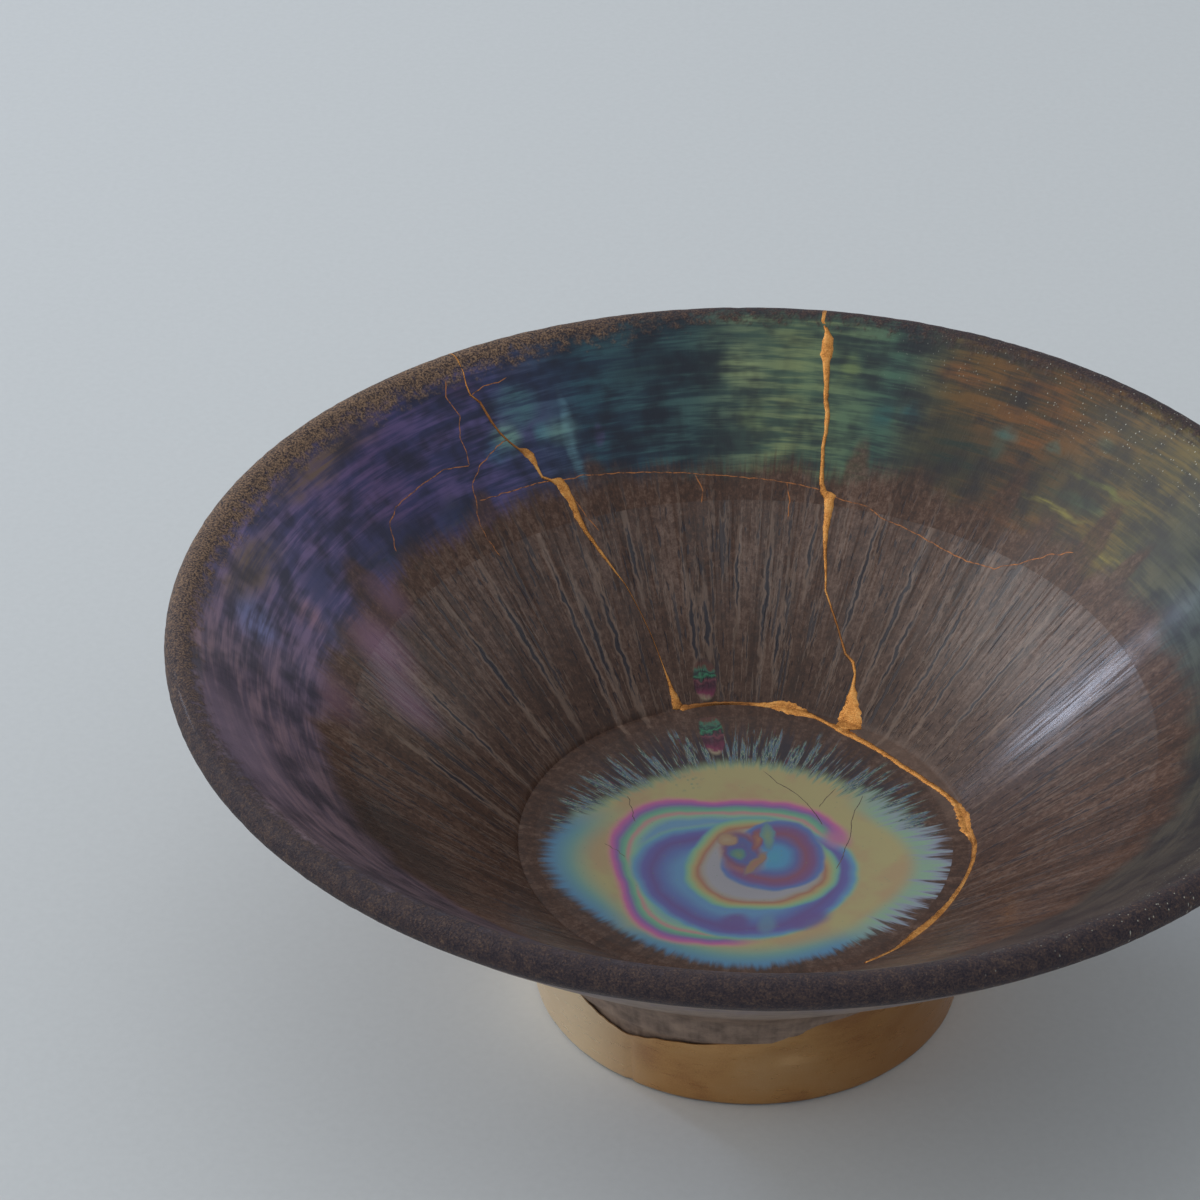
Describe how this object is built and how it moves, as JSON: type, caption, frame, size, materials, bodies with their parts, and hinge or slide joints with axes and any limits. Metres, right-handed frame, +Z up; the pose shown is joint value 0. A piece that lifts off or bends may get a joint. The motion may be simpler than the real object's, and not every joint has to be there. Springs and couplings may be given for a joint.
{
  "type": "kintsugi bowl",
  "caption": "Wide conical tea bowl on a tall foot ring, with iridescent dark glaze inside, breaks mended in gold lacquer and a gold-coated foot.",
  "frame": {"origin": "centre of the rim's outer circle, on the plane that the foot stands on", "axes": "+Z up through the bowl's mouth, -Y towards the front, with the mended breaks in the back wall towards +Y"},
  "size_m": [0.15, 0.15, 0.059],
  "materials": {
    "glaze": "glossy brown glaze with radial streaks, iridescent band and pool",
    "seam_gold": "burnished gold lacquer with fine grain",
    "foot_gold": "satin gold lacquer"
  },
  "bodies": {
    "root": {"main_body": "glaze", "back_shard": "glaze", "gold_seam": "seam_gold", "gold_foot": "foot_gold"}
  },
  "joints": []
}
